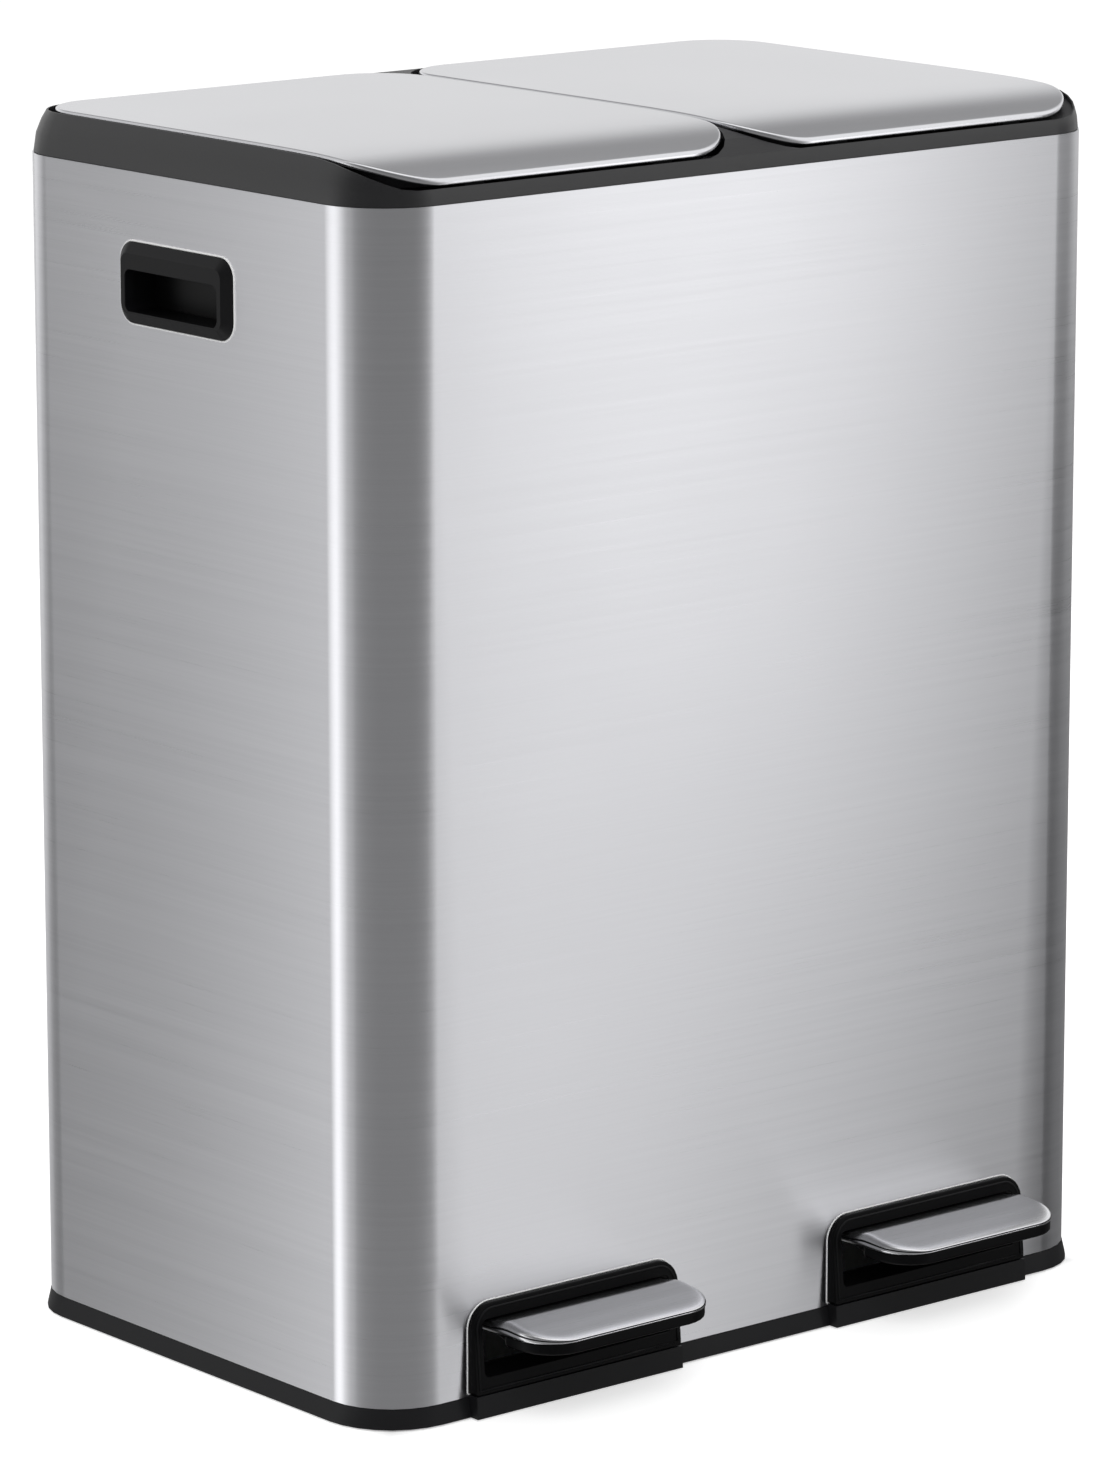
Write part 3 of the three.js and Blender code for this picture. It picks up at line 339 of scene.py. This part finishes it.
# %% Dress the frame
FINISHES = {
    "steel_casing": casing_steel, "lid_skin": lid_steel, "pedal_cap": tread_steel,
    "top_rim": rim_plastic, "base": base_plastic, "side_handle": grip_plastic,
    "pedal_pocket": pocket_plastic, "pedal_lever": pocket_plastic,
    "lid_liner": liner_plastic, "bucket": bucket_plastic,
    "bumper_outer": rubber, "bumper_inner": rubber, "front_foot": rubber, "back_foot": rubber,
}
ROUNDED = {"pedal_pocket": 0.0007, "pedal_lever": 0.0006}
WELD_REACH = 0.00001
CREASE_ANGLE, FLAT_ANGLE = math.radians(32), math.radians(1)


def finish_for(name):
    for word, material in FINISHES.items():
        if name.endswith(word):
            return material
    return pin_steel


def rounding_for(name):
    return next((width for word, width in ROUNDED.items() if name.endswith(word)), 0)


def shade_smooth(mesh):
    mesh.polygons.foreach_set("use_smooth", [True] * len(mesh.polygons))


def keep_creases(obj, rounding):
    """Shade across the facets of a curve, and keep or round every edge sharper than a crease."""
    obj.modifiers.new("weld", "WELD").merge_threshold = WELD_REACH
    if rounding:
        joined = obj.modifiers.new("join_flats", "DECIMATE")
        joined.decimate_type = "DISSOLVE"
        joined.angle_limit = FLAT_ANGLE
        edge = obj.modifiers.new("rounding", "BEVEL")
        edge.width = rounding
        edge.segments = 3
        edge.limit_method = "ANGLE"
        edge.angle_limit = CREASE_ANGLE
        edge.use_clamp_overlap = False
    obj.modifiers.new("crease", "EDGE_SPLIT").split_angle = CREASE_ANGLE
    obj.modifiers.new("weigh_normals", "WEIGHTED_NORMAL").keep_sharp = True


for name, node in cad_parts.items():
    for slot in node.material_slots:
        slot.material = finish_for(name)
    shade_smooth(node.data)
    keep_creases(node, rounding_for(name))
print("dressed", len(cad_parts), "pieces")

# %% [markdown]
# ## Sheet formed over an outline
#
# A lid and a tread are both pressed from one sheet: a flat with round corners whose edge rolls over into a
# short hem. Such a form is a stack of outlines, each a little further in than the last. Near the edge they
# lie close together and climb the roll; further in they spread out and follow the crown of the flat, down to
# a last thin slit along the middle. One helper makes the outline, and one builds the sheet from the stack.

# %% Draw an outline
SHARPEST_CORNER = 0.00005


def plan(low, high):
    """The rectangle that a piece fills on the floor plan."""
    return (low[0], low[1], high[0], high[1])


def half_width(box):
    return min(box[2] - box[0], box[3] - box[1]) / 2


def outline(box, inset, front_corner, back_corner, corner_steps=14, side_steps=30):
    """Points round a rectangle with round corners, from the back left corner round the front."""
    (x0, y0), (x1, y1) = (box[0] + inset, box[1] + inset), (box[2] - inset, box[3] - inset)
    front = max(front_corner - inset, SHARPEST_CORNER)
    back = max(back_corner - inset, SHARPEST_CORNER)
    corners = [
        (x0 + back, y1 - back, back, 0.5), (x0 + front, y0 + front, front, 1.0),
        (x1 - front, y0 + front, front, 1.5), (x1 - back, y1 - back, back, 2.0)]
    points = []
    for cx, cy, radius, start in corners:
        arc = [math.pi * (start + 0.5 * step / corner_steps) for step in range(corner_steps + 1)]
        bend = [Vector((cx + radius * math.cos(a), cy + radius * math.sin(a))) for a in arc]
        if points:
            last = points[-1]
            points += [last.lerp(bend[0], step / side_steps) for step in range(1, side_steps)]
        points += bend
    last = points[-1]
    points += [last.lerp(points[0], step / side_steps) for step in range(1, side_steps)]
    return points


print("an outline has", len(outline((0, 0, 1, 1), 0, 0.1, 0.1)), "points")


# %% Form a sheet over a stack of outlines
def bridge(form, low, high):
    """A band of faces between two closed rings."""
    for i in range(len(low)):
        j = (i + 1) % len(low)
        form.faces.new((low[i], low[j], high[j], high[i]))


def mesh_from(form, name, material):
    mesh = bpy.data.meshes.new(name)
    form.to_mesh(mesh)
    form.free()
    mesh.materials.append(material)
    return mesh


def formed_sheet(name, rings, thickness, material):
    """A skin over rings of points, the last ring closed, given its thickness inwards."""
    form = bmesh.new()
    laid = [[form.verts.new(point) for point in ring] for ring in rings]
    for low, high in zip(laid, laid[1:]):
        bridge(form, low, high)
    form.faces.new(laid[-1])
    bmesh.ops.recalc_face_normals(form, faces=form.faces)
    mesh = mesh_from(form, name, material)
    shade_smooth(mesh)
    obj = set_out(name, mesh)
    sheet = obj.modifiers.new("sheet", "SOLIDIFY")
    sheet.thickness = thickness
    sheet.offset = -1
    return obj


print("sheet former ready")

# %% [markdown]
# ## The lids
#
# The flat of a lid is level for most of its depth, bows down slowly and then drops over a nose at the front.
# Its edge is rolled by little more than a millimetre, which draws the thin bright line round each lid. The
# frame holds this form in a few facets; here it is pressed again finely, so that the room's reflection bends
# over the nose without a break.

# %% Draw the section of a lid
casing_low, casing_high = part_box("steel_casing")
middle_y = (casing_low[1] + casing_high[1]) / 2
LID_ROLL, LID_HEM = 0.0013, 0.0027
LID_BOW, LID_NOSE = 0.0018, 0.0092
ROLL_STEPS = 6
FIRST_STRIDE, STRIDE_GROWTH, LONGEST_STRIDE = 0.0008, 1.2, 0.006
# Half of the slit that the last outline leaves, and the room that the strides leave before it
SLIT, SLIT_ROOM = 0.0002, 0.0003


def lid_height(y, top, front):
    """Level behind the middle of the bin, then a slow bow, then the nose."""
    share = min(max((y - middle_y) / (front - middle_y), 0), 1)
    return top - LID_BOW * share ** 3 - LID_NOSE * share ** 9


def lid_section(half):
    """Insets and drops from the foot of the hem, up over the roll and on to the middle."""
    section = [(0, LID_HEM), (0, (LID_HEM + LID_ROLL) / 2)]
    for step in range(ROLL_STEPS + 1):
        turn = 0.5 * math.pi * step / ROLL_STEPS
        section.append((LID_ROLL * (1 - math.cos(turn)), LID_ROLL * (1 - math.sin(turn))))
    inset, stride = LID_ROLL, FIRST_STRIDE
    while inset + stride < half - SLIT_ROOM:
        inset += stride
        section.append((inset, 0))
        stride = min(stride * STRIDE_GROWTH, LONGEST_STRIDE)
    section.append((half - SLIT, 0))
    return section


print("a lid falls", round(LID_BOW + LID_NOSE, 4), "m from its middle to its nose")

# %% Press the two lids
SIDES = ("left", "right")
LID_CORNERS = (0.038, 0.034)
LID_SHEET = 0.0008
for word in SIDES:
    low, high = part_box(f"{word}_lid_skin")
    box = plan(low, high)
    rings = [
        [(p.x, p.y, lid_height(p.y, high[2], low[1]) - drop) for p in outline(box, inset, *LID_CORNERS)]
        for inset, drop in lid_section(half_width(box))]
    lid_sheet = formed_sheet(f"{word}_lid_sheet", rings, LID_SHEET, lid_steel)
    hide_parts(f"{word}_lid_skin")
    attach(lid_sheet, f"{word}_lid")
    print(lid_sheet.name, len(lid_sheet.data.polygons), "faces")

# %% [markdown]
# ## The treads
#
# Each tread is a steel cap over a black pedal. From the back it climbs to a soft crest, then falls towards
# the toe. Round its edge the press leaves a broad shoulder, a fine groove under it, and the upright hem. The
# groove and the dark wire in it, a painted shadow, draw the contour lines at the ends of the treads.

# %% Draw the side view and the edge of a tread
front_y = casing_low[1]
TREAD_REACH, TREAD_LEVEL = 0.050, 0.050
TREAD_DEPTH = TREAD_REACH + 0.011
TREAD_EASE = 0.0022
HEM_DROP, HEM_RISE = 0.005, 0.001
# Share of the reach in front of the casing, and height over the tread's level
TREAD_LINE = ((-0.4, 0), (0.06, 0), (0.2, 0.0012), (0.34, 0.0029), (0.38, 0.003), (0.64, 0.0013),
              (0.92, -0.0011), (1.02, -0.0022))
# Inset from the edge, and share of the way from the hem's foot to the crown
TREAD_EDGE = ((0, 0), (0, 0.30), (0.00012, 0.36), (0.0005, 0.38), (0.0005, 0.44), (0.00012, 0.46),
              (0.00015, 0.56), (0.0005, 0.70), (0.0012, 0.82), (0.0022, 0.91), (0.0034, 0.965),
              (0.0048, 0.99), (0.0066, 1))


def crown(y):
    """Height of the tread's surface, from the points of its side view."""
    share = (front_y - y) / TREAD_REACH
    for (s0, h0), (s1, h1) in zip(TREAD_LINE, TREAD_LINE[1:]):
        if share <= s1:
            return TREAD_LEVEL + h0 + (h1 - h0) * max(share - s0, 0) / (s1 - s0)
    return TREAD_LEVEL + TREAD_LINE[-1][1]


def eased_crown(y):
    """The same surface with its creases eased, as a press leaves them: the mean of seven heights."""
    return sum(crown(y + TREAD_EASE * k / 3) for k in range(-3, 4)) / 7


def tread_point(p, climb, back):
    """A point of the tread's skin, a share of the way from the foot of its hem to the crown."""
    foot = TREAD_LEVEL - HEM_DROP + HEM_RISE * (back - p.y) / TREAD_DEPTH
    return (p.x, p.y, foot + (eased_crown(p.y) - foot) * climb)


crest = max(height for _, height in TREAD_LINE)
print("crest of a tread", round(TREAD_LEVEL + crest, 4), "m up")

# %% Press the two treads
TREAD_CORNERS = (0.022, 0.0012)
TREAD_SHEET, TREAD_STRIDE = 0.0009, 0.0015
for word in SIDES:
    low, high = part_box(f"{word}_pedal_cap")
    box = plan(low, high)
    half = half_width(box)
    section = list(TREAD_EDGE)
    while section[-1][0] + TREAD_STRIDE < half - SLIT_ROOM:
        section.append((section[-1][0] + TREAD_STRIDE, 1))
    section.append((half - SLIT, 1))
    rings = [
        [tread_point(p, climb, high[1]) for p in outline(box, inset, *TREAD_CORNERS, corner_steps=16)]
        for inset, climb in section]
    tread_sheet = formed_sheet(f"{word}_tread_sheet", rings, TREAD_SHEET, tread_steel)
    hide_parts(f"{word}_pedal_cap")
    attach(tread_sheet, f"{word}_pedal")
    print(tread_sheet.name, len(tread_sheet.data.polygons), "faces")

# %% [markdown]
# ## Fine lines round the openings
#
# Where the casing is cut for a pocket or a grip, its edge is folded back to a fine line that frames the
# black plastic; the fold is coloured pale, a painted highlight. Inside it a pocket has a moulded ridge that
# follows its sloping face, and the mouth of a grip has a thin lip. Each is a thin round wire laid along an
# outline, so one helper makes them all. They are meshes and not relief in a shader, because they stand at
# an edge and show against what lies behind it.

# %% Lay a wire along an outline
def bead(name, points, radius, material, body):
    """A closed round wire through the points, which rides on a body."""
    path = bpy.data.curves.new(name, "CURVE")
    path.dimensions = "3D"
    path.bevel_depth = radius
    path.bevel_resolution = 3
    path.materials.append(material)
    spline = path.splines.new("POLY")
    spline.points.add(len(points) - 1)
    for spot, point in zip(spline.points, points):
        spot.co = (*point, 1)
    spline.use_cyclic_u = True
    obj = set_out(name, path)
    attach(obj, body)


print("wires are ready to lay")

# %% Frame a pocket
POCKET_CORNERS = (0.013, 0.001)
POCKET_FOLD = 0.0004
RIDGE, RIDGE_INSET = 0.0006, 0.0026
POCKET_PROUD, POCKET_SLOPE, POCKET_TALL = 0.003, 0.004, 0.0464


def pocket_proud(down):
    """How far the sloped face of a pocket stands out, at a depth under its top."""
    return POCKET_PROUD + POCKET_SLOPE * down / POCKET_TALL


def frame_pocket(word):
    """The fold and the ridge of a pocket, which is round at its upper corners."""
    low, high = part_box(f"{word}_pedal_pocket")
    rect = (low[0], -high[2], high[0], -low[2])
    ring = outline(rect, -POCKET_FOLD, *POCKET_CORNERS, side_steps=4)
    fold = [(p.x, front_y, -p.y) for p in ring]
    bead(f"{word}_pocket_fold", fold, POCKET_FOLD, painted_edge_highlight, "housing")
    ring = outline(rect, RIDGE_INSET, *POCKET_CORNERS, side_steps=4)
    ridge = [(p.x, front_y - pocket_proud(high[2] + p.y), -p.y) for p in ring]
    bead(f"{word}_pocket_ridge", ridge, RIDGE, grip_plastic, "housing")


print("a pocket stands out", POCKET_PROUD, "m at its top")

# %% Frame a grip
GRIP_CORNERS, MOUTH_CORNERS = (0.010, 0.010), (0.003, 0.003)
GRIP_FOLD, GRIP_LIP = 0.0006, 0.0004
MOUTH_SIDE, MOUTH_FOOT, MOUTH_HEAD = 0.008, 0.006, 0.013


def frame_grip(word):
    """The fold of the steel round a grip, and the lip of the grip's mouth."""
    low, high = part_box(f"{word}_side_handle")
    wall = casing_low[0] if word == "left" else casing_high[0]
    rect = (low[1], low[2], high[1], high[2])
    fold = [(wall, p.x, p.y) for p in outline(rect, -GRIP_FOLD, *GRIP_CORNERS, side_steps=4)]
    bead(f"{word}_grip_fold", fold, GRIP_FOLD, painted_edge_highlight, "housing")
    face = low[0] + GRIP_LIP if word == "left" else high[0] - GRIP_LIP
    mouth = (low[1] + MOUTH_SIDE, low[2] + MOUTH_FOOT, high[1] - MOUTH_SIDE, high[2] - MOUTH_HEAD)
    lip = [(face, p.x, p.y) for p in outline(mouth, 0, *MOUTH_CORNERS, side_steps=4)]
    bead(f"{word}_grip_lip", lip, GRIP_LIP, grip_plastic, "housing")


print("the fold round a grip is", GRIP_FOLD * 2, "m thick")

# %% [markdown]
# ## The grooves of the treads
#
# The groove pressed round a tread is half a millimetre deep. It lies in shadow and shows as a dark line, and
# a dark wire in the groove gives that line from any side. It rides on the pedal, so it goes down with the
# tread.

# %% Groove the treads and lay all the lines
GROOVE, GROOVE_INSET, GROOVE_CLIMB = 0.0004, 0.0003, 0.41


def lay_groove_shadow(word):
    low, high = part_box(f"{word}_pedal_cap")
    ring = outline(plan(low, high), GROOVE_INSET, *TREAD_CORNERS)
    groove = [tread_point(p, GROOVE_CLIMB, high[1]) for p in ring]
    # A dark wire laid in the groove, its painted shadow
    bead(f"{word}_tread_groove_shadow", groove, GROOVE, pocket_plastic, f"{word}_pedal")


for word in SIDES:
    frame_pocket(word)
    frame_grip(word)
    lay_groove_shadow(word)
print("folds, ridges, lips and grooves laid")

# %% [markdown]
# ## The back seam
#
# The casing is one sheet wrapped round and joined at the middle of the back, where a flat lock seam stands a
# little proud. It is out of sight in the photograph, but such a casing always has one.

# %% Fold the seam
SEAM_HALF, SEAM_PROUD, SEAM_EDGE = 0.006, 0.0006, 0.0004
SEAM_MARGIN = 0.001
SEAM_SECTION = (
    (-SEAM_HALF, 0), (-SEAM_HALF, SEAM_PROUD - SEAM_EDGE), (-SEAM_HALF + SEAM_EDGE, SEAM_PROUD),
    (SEAM_HALF - SEAM_EDGE, SEAM_PROUD), (SEAM_HALF, SEAM_PROUD - SEAM_EDGE), (SEAM_HALF, 0))
form = bmesh.new()
feet, heads = (
    [form.verts.new((x, casing_high[1] + y, z)) for x, y in SEAM_SECTION]
    for z in (casing_low[2] + SEAM_MARGIN, casing_high[2] - SEAM_MARGIN))
bridge(form, feet, heads)
form.faces.new(feet)
form.faces.new(heads)
bmesh.ops.recalc_face_normals(form, faces=form.faces)
back_seam = set_out("back_seam", mesh_from(form, "back_seam", casing_steel))
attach(back_seam, "housing")
print("seam", round(casing_high[2] - casing_low[2], 3), "m tall")

# %% [markdown]
# ## The studio
#
# Steel has hardly any colour of its own: what it shows is the room. The bin stands on a white floor. Round
# it hangs a light tent, painted in greys that only reflections can see: bright panels to the right of the
# camera and at the left, darkness round the camera itself, and a low white wall behind for the lids. The
# tent is close to the bin, so its tones slide over the steel from one end of a face to the other.

# %% List the tones of the tent
TENT_RADIUS = 2.4
TENT_MIDDLE = (0, 0, 0.3)
BRIGHTEST = 2.05
# Tone of the tent's lower half, by direction: 0 is to the right, 90 behind, 180 left, 270 in front
LOW_TONES = ((182, 0.30), (196, 0.24), (215, 0.215), (275, 0.215), (288, 0.22), (293, 0.26), (297, 0.5),
             (301, 0.6), (305, 1.55), (309, 2.05), (312, 1.7), (315, 0.74), (318, 0.28), (323, 0.15),
             (335, 0.14), (20, 0.25), (45, 0.75), (85, 0.85), (105, 0.5), (118, 0.28), (124, 0.33),
             (128, 0.4), (131, 0.6), (134, 0.78), (138, 1.1), (145, 1.4), (152, 1.3), (160, 0.9),
             (170, 0.45))
# Tone of its upper half, by direction
HIGH_TONES = ((180, 0.15), (268, 0.16), (282, 0.4), (292, 0.85), (345, 0.9), (0, 0.55), (14, 0.3),
              (95, 0.3), (110, 0.6), (150, 0.6), (168, 0.2))
# Share of the low wall in the tone, by direction
WALL_SHARE = ((180, 0), (340, 0), (359, 1), (100, 1), (118, 0))
# How much the tent darkens towards the floor, by direction
FADE_SHARE = ((180, 0), (302, 0), (309, 1), (330, 1), (340, 0.5), (100, 0.5), (124, 0.5), (131, 0.8),
              (138, 0.2), (150, 0))
# The same by height, where 0 is the tent's foot and 1 its top
FADE_STOPS = ((0.31, 1), (0.57, 0))
UPPER_STOPS = ((0.54, 0), (0.62, 1))
WALL_STOPS = ((0.48, 0), (0.53, 1), (0.685, 1), (0.80, 0))
TOP_STOPS = ((0.93, 0), (0.97, 1))
FADE_DEPTH, WALL_TONE, TOP_TONE = 0.9, 0.80, 1.0


def by_bearing(tones, brightest=1.0):
    """Stops of a ramp that starts and ends at the left. No stop passes 1, so bright tones are divided."""
    return sorted((((degrees + 180) % 360) / 360, tone / brightest) for degrees, tone in tones)


print("tones of the tent:", len(LOW_TONES), "low and", len(HIGH_TONES), "high")

# %% Paint and hang the light tent
paint = Finish("tent_paint", base_color=grey(0), specular_ior_level=0, emission_strength=1)
across, deep, up = paint.along(paint.point(), "XYZ")
turn = across.maths("ARCTAN2", deep, across) / (2 * math.pi) + 0.5
climb = up / (2 * TENT_RADIUS) + 0.5
fade = paint.ramp(climb, FADE_STOPS) * paint.ramp(turn, by_bearing(FADE_SHARE))
low_tone = paint.ramp(turn, by_bearing(LOW_TONES, BRIGHTEST)) * BRIGHTEST * (1 - fade * FADE_DEPTH)
high_tone = paint.ramp(turn, by_bearing(HIGH_TONES, BRIGHTEST)) * BRIGHTEST
upper = paint.blend(paint.ramp(climb, TOP_STOPS), high_tone, grey(TOP_TONE))
whole = paint.blend(paint.ramp(climb, UPPER_STOPS), low_tone, upper)
wall = paint.ramp(turn, by_bearing(WALL_SHARE)) * paint.ramp(climb, WALL_STOPS)
paint.into("Emission Color", paint.blend(wall, whole, grey(WALL_TONE)))
dome = bmesh.new()
bmesh.ops.create_uvsphere(dome, u_segments=96, v_segments=48, radius=TENT_RADIUS)
light_tent = set_out("light_tent", mesh_from(dome, "light_tent", paint.material))
light_tent.location = TENT_MIDDLE
light_tent.visible_camera = False
light_tent.visible_diffuse = False
light_tent.visible_shadow = False
light_tent.visible_transmission = False
print("tent of", TENT_RADIUS, "m")

# %% [markdown]
# ## Floor, room and lamps
#
# The floor is white paper. Part of its white is given only to the camera, through Light Path, so that it
# reads as white without more light on the bin, and the bin's shadow stays on it. None is given under the
# bin, so the floor is left darker there, a painted shade under the hollow base; that white would shine out
# of the pedal openings. The room behind is white in the same way as the floor. Two wide lamps light the
# plastics softly from above.

# %% Lay the floor
FLOOR_REACH, FLOOR_LIFT = 14, 0.6
# Half of the width and half of the depth of the floor that lies under the base's hollow
HOLLOW = (0.224, 0.114)


def seen_directly(bench):
    """One for camera, glossy and see-through rays, nought for light on its way round the room."""
    path = bench.node("ShaderNodeLightPath").socket.node.outputs
    eye, mirror, glass = (Wire(bench, path[name]) for name in (
        "Is Camera Ray", "Is Glossy Ray", "Is Transmission Ray"))
    return eye.maths("MAXIMUM", eye.maths("MAXIMUM", eye, mirror), glass)


def floor_paper():
    paper = Finish("floor_paper", roughness=0.95, specular_ior_level=0.0, emission_strength=1.0)
    beside, fore = (part.maths("ABSOLUTE", part) for part in paper.along(paper.point(), "XY"))
    clear = beside.maths("MAXIMUM", beside - HOLLOW[0], fore - HOLLOW[1])
    # The lift starts at the edge of the hollow and is whole from 20 mm outside it. Under the hollow the floor
    # keeps no lift, a painted shade.
    lift_outside_painted_shade = paper.ramp(clear * 10 + 0.1, ((0.1, 0), (0.3, 1)))
    seen = seen_directly(paper) * lift_outside_painted_shade
    grain = paper.noise((60, 60, 60), 4.0)
    paper.into("Base Color", paper.blend(grain, grey(0.86), grey(0.9)))
    paper.into("Emission Color", paper.blend(seen, grey(0), grey(FLOOR_LIFT)))
    return paper.material


sheet = bpy.data.meshes.new("studio_floor")
corners = [(x * FLOOR_REACH, y * FLOOR_REACH, 0) for x, y in ((-1, -1), (1, -1), (1, 1), (-1, 1))]
sheet.from_pydata(corners, [], [(0, 1, 2, 3)])
sheet.materials.append(floor_paper())
floor = set_out("studio_floor", sheet)
floor.visible_glossy = False
print("floor of", 2 * FLOOR_REACH, "m")


# %% Close the room and hang the lamps
def room(level):
    """A world that gives light at a level and looks white."""
    world = bpy.data.worlds.new("studio_room")
    world.use_nodes = True
    bench = Bench(world.node_tree)
    shade = bench.blend(seen_directly(bench), grey(level), grey(1.0))
    bench.feed(world.node_tree.nodes["Background"].inputs["Color"], shade)
    bpy.context.scene.world = world


def softbox(name, place, target, size, power):
    """A wide lamp turned to a target, which neither the camera nor a reflection sees."""
    light = bpy.data.lights.new(name, "AREA")
    light.shape = "RECTANGLE"
    light.size, light.size_y = size
    light.energy = power
    lamp = set_out(name, light)
    lamp.location = place
    lamp.rotation_mode = "QUATERNION"
    lamp.rotation_quaternion = (Vector(target) - Vector(place)).to_track_quat("-Z", "Y")
    lamp.visible_camera = False
    lamp.visible_glossy = False


room(level=0.5)
softbox("key_lamp", place=(-1.6, -2.2, 3.0), target=(0, 0, 0.4), size=(2.0, 2.0), power=45)
softbox("top_lamp", place=(0.6, 0.8, 3.4), target=(0, 0, 0.3), size=(3.0, 3.0), power=40)
print("studio ready")
